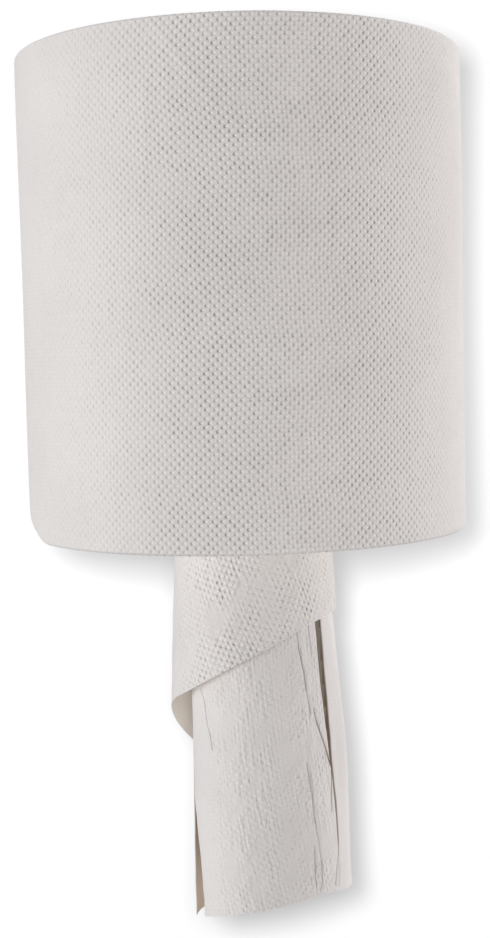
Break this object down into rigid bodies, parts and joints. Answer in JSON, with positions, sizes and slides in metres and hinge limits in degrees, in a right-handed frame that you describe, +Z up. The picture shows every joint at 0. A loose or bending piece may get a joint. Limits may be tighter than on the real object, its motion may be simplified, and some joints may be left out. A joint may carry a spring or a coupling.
{
  "type": "paper towel roll",
  "caption": "Coreless centre-pull paper towel roll with its innermost turns drawn out below as a loose, stepped tube of paper.",
  "frame": {"origin": "centre of the roll's lower end face", "axes": "+Z up along the roll's axis, -Y the front that the picture shows, +X to the right; the drawn-out paper hangs below the origin"},
  "size_m": [0.1876, 0.1873, 0.3724],
  "materials": {
    "tissue": "matte, embossed with staggered dots"
  },
  "bodies": {
    "root": {"paper_roll": "tissue"}
  },
  "joints": []
}
